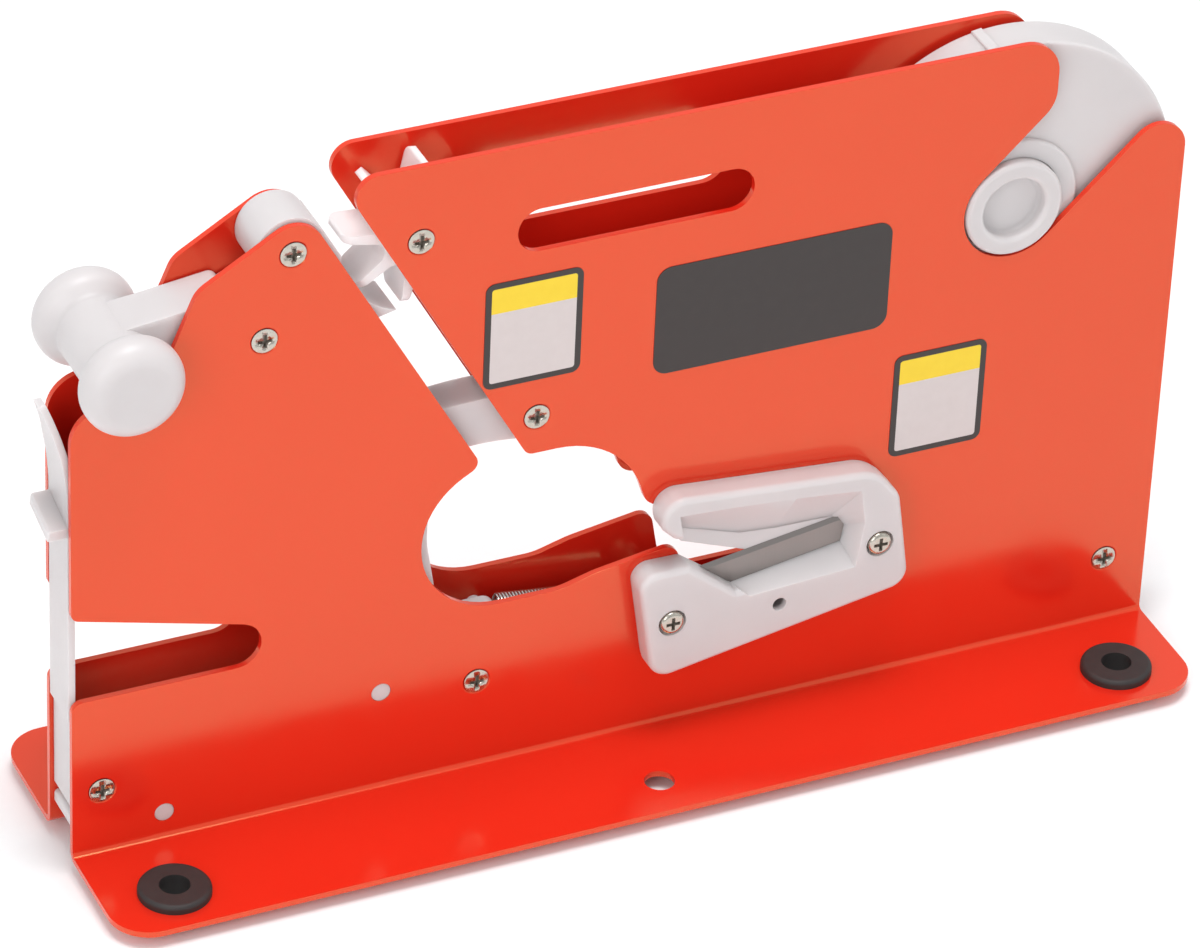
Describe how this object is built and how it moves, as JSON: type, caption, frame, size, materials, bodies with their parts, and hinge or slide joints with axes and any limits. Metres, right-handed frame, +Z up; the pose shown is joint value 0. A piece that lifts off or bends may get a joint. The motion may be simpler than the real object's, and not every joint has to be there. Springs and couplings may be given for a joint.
{
  "type": "bag neck sealer",
  "caption": "Hand-operated bench dispenser that closes bag necks with tape: twin steel plates on feet, tape reel, roller wheel, gate and trimming blade.",
  "frame": {"origin": "on the rest surface under the feet, halfway between the two plates and halfway along the overall length", "axes": "+Z up; +X along the plates, from the clamp lever's end to the tape reel's end; +Y from the cutter guard's side to the back"},
  "size_m": [0.2546, 0.0748, 0.1569],
  "materials": {
    "red_paint": "glossy red-orange powder paint",
    "white_plastic": "milky white moulded plastic, satin",
    "nickel_steel": "nickel-plated steel",
    "blade_steel": "ground blade steel",
    "spring_steel": "drawn spring wire",
    "foot_rubber": "matt black rubber",
    "dark_film": "dark grey printed film",
    "label_film": "pale grey label film"
  },
  "bodies": {
    "frame": {"nose_guide": "white_plastic", "knife_holder": "white_plastic", "base_block": "white_plastic", "guard_back": "white_plastic", "cutter_guard": "white_plastic", "front_plate": "red_paint", "rear_plate": "red_paint", "spacer_posts": "nickel_steel", "plate_screws_front": "nickel_steel", "plate_screws_rear": "nickel_steel", "guard_screws": "nickel_steel", "tab_lever_pin": "nickel_steel", "tape_knife": "blade_steel", "trim_blade": "blade_steel", "gate_spring": "spring_steel", "nameplate": "dark_film", "label_upper": "label_film", "label_lower": "label_film", "foot_front_left": "foot_rubber", "foot_front_right": "foot_rubber", "foot_rear_left": "foot_rubber", "foot_rear_right": "foot_rubber"},
    "star": {"star_wheel": "white_plastic"},
    "lever": {"clamp_lever": "white_plastic"},
    "gate": {"gate_arm": "white_plastic"},
    "tab": {"tab_lever": "white_plastic"},
    "axle": {"reel_axle": "white_plastic"},
    "drum": {"reel_drum": "white_plastic"}
  },
  "joints": [
    {"name": "star_spin", "type": "hinge", "parent": "frame", "child": "star", "pos_m": [-0.04753, 0, 0.1391], "axis": [0, 1, 0], "continuous": true},
    {"name": "lever_swing", "type": "hinge", "parent": "frame", "child": "lever", "pos_m": [-0.08123, 0, 0.1231], "axis": [0, 1, 0], "range_deg": [0, 35]},
    {"name": "gate_swing", "type": "hinge", "parent": "frame", "child": "gate", "pos_m": [-0.03214, 0, 0.026], "axis": [0, -1, 0], "range_deg": [0, 16], "stiffness_Nm_per_rad": 0.02, "springref_deg": -40.11, "deforming": ["gate_spring"]},
    {"name": "tab_swing", "type": "hinge", "parent": "frame", "child": "tab", "pos_m": [-0.11734, 0, 0.0309], "axis": [0, -1, 0], "range_deg": [0, 20]},
    {"name": "reel_lift", "type": "slide", "parent": "frame", "child": "axle", "axis": [0.7193, 0, 0.6947], "range_m": [0, 0.045]},
    {"name": "reel_spin", "type": "hinge", "parent": "axle", "child": "drum", "pos_m": [0.08746, 0, 0.1172], "axis": [0, 1, 0], "continuous": true}
  ]
}
